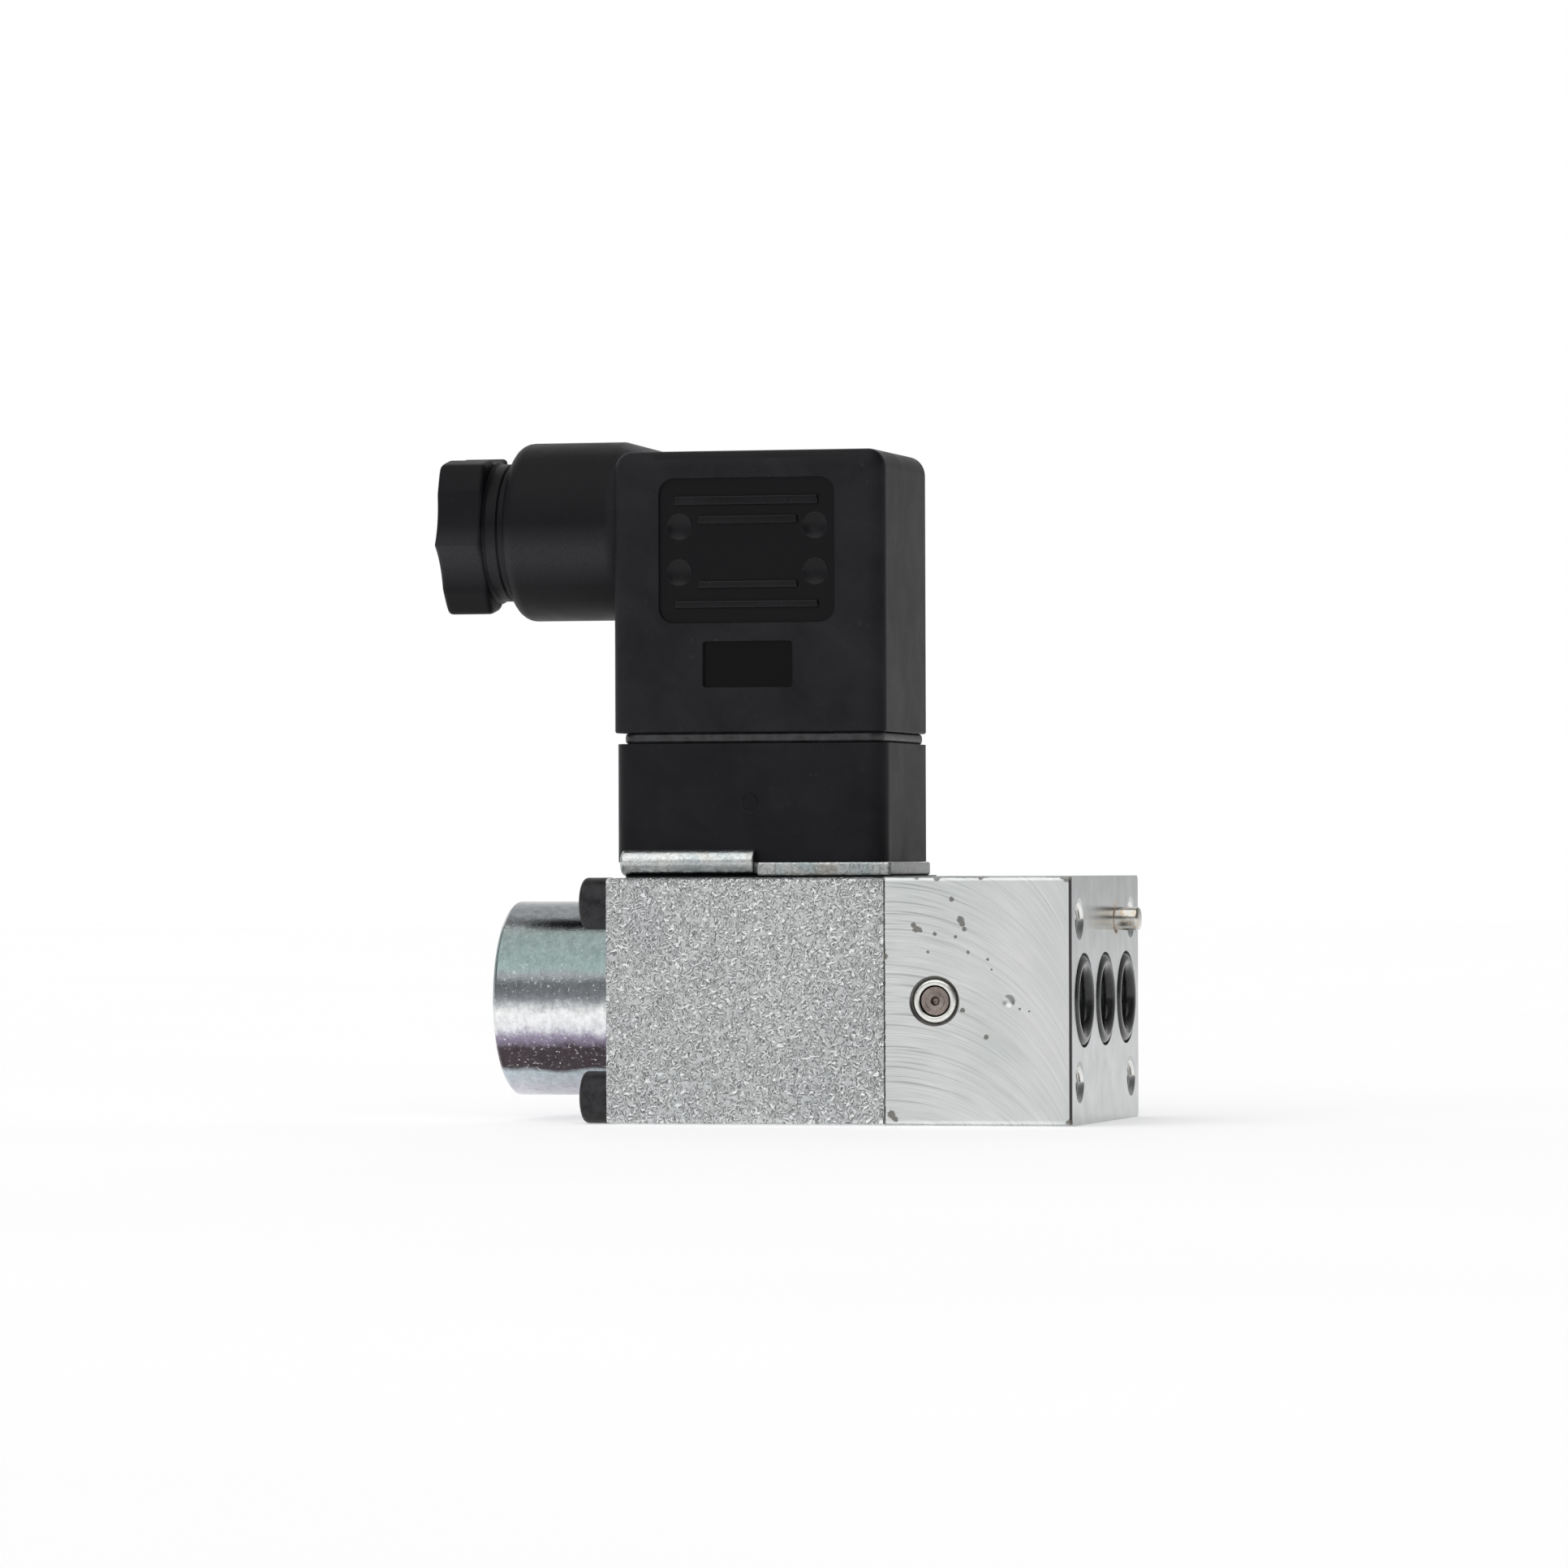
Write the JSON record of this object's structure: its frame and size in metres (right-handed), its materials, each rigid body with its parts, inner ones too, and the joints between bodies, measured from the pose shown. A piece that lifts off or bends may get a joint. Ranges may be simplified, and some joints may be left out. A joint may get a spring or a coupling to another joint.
{
  "type": "solenoid valve",
  "caption": "Small flange-mounted solenoid seat valve: square block with three sealed ports, square coil housing, round end cap and a black cube cable plug.",
  "frame": {"origin": "centre of the port face, on the axis of the middle port", "axes": "+X is the outward normal of the port face, along the armature's axis; +Z points from the valve to the cable plug; -Y is the side with the gallery plug"},
  "size_m": [0.074, 0.035, 0.0727],
  "materials": {
    "zinc_machined": "zinc-plated machined steel with fine arc-shaped tool marks",
    "zinc_etched": "zinc-plated steel with a coarse etched grain",
    "zinc_bright": "bright passivated zinc with a faint blue and violet tint",
    "zinc_sheet": "zinc-plated steel sheet",
    "black_oxide": "blackened steel, slightly oily",
    "steel_ground": "ground steel",
    "steel_dark": "heat-tinted steel pin",
    "plug_black": "fine-grained black polyamide",
    "base_black": "smooth black thermoplastic",
    "rubber_black": "black nitrile rubber",
    "brass_plain": "turned brass",
    "copper_wire": "enamelled copper wire",
    "contact_tin": "tin-plated brass"
  },
  "bodies": {
    "root": {"valve_block": "zinc_machined", "port_seals": "rubber_black", "locating_pin": "steel_ground", "gallery_sleeve": "steel_ground", "gallery_pin": "steel_dark", "tank_seat": "steel_ground", "pressure_seat": "steel_ground", "spring_retainer": "steel_ground", "return_spring": "steel_ground", "coil_housing": "zinc_etched", "housing_screws": "black_oxide", "core_seal": "rubber_black", "fixed_core": "steel_ground", "pole_tube": "steel_ground", "tube_seal": "rubber_black", "end_cap": "zinc_bright", "override_seal": "rubber_black", "coil_bobbin": "base_black", "coil_winding": "copper_wire", "coil_leads": "copper_wire", "base_plate": "zinc_sheet", "terminal_base": "base_black", "base_insert": "brass_plain", "contact_blades": "contact_tin"},
    "armature": {"armature": "steel_ground", "push_rod": "steel_ground"},
    "ball": {"valve_ball": "steel_ground"},
    "override": {"override_pin": "brass_plain"},
    "plug": {"plug_housing": "plug_black", "terminal_insert": "base_black", "contact_sockets": "contact_tin", "terminal_screws": "contact_tin", "plug_gasket": "rubber_black", "cable_seal": "rubber_black", "screw_seal": "rubber_black"},
    "plug_screw": {"plug_screw": "contact_tin"},
    "washer": {"gland_washer": "contact_tin"},
    "nut": {"gland_nut": "plug_black"}
  },
  "joints": [
    {"name": "armature_stroke", "type": "slide", "parent": "root", "child": "armature", "axis": [1, 0, 0], "range_m": [0, 0.0008], "stiffness_N_per_m": 2500, "springref_m": -0.002},
    {"name": "ball_travel", "type": "slide", "parent": "root", "child": "ball", "axis": [1, 0, 0], "range_m": [0, 0.0008], "deforming": ["return_spring"]},
    {"name": "override_press", "type": "slide", "parent": "root", "child": "override", "axis": [1, 0, 0], "range_m": [0, 0.0008]},
    {"name": "plug_pull", "type": "slide", "parent": "root", "child": "plug", "axis": [0, 0, 1], "range_m": [0, 0.014]},
    {"name": "plug_screw_turn", "type": "hinge", "parent": "plug", "child": "plug_screw", "pos_m": [-0.03615, 0, 0.0575], "axis": [0, 0, 1], "continuous": true},
    {"name": "gland_nut_advance", "type": "slide", "parent": "plug", "child": "washer", "axis": [1, 0, 0], "range_m": [-0.00282, 0.00078]},
    {"name": "gland_nut_turn", "type": "hinge", "parent": "washer", "child": "nut", "pos_m": [-0.0664, 0, 0.0501], "axis": [1, 0, 0], "range_deg": [-721, 201]}
  ],
  "couplings": [
    {"joint": "ball_travel", "follows": "armature_stroke", "ratio": 1},
    {"joint": "override_press", "follows": "armature_stroke", "ratio": 1},
    {"joint": "gland_nut_turn", "follows": "gland_nut_advance", "rad_per_m": 4453}
  ]
}
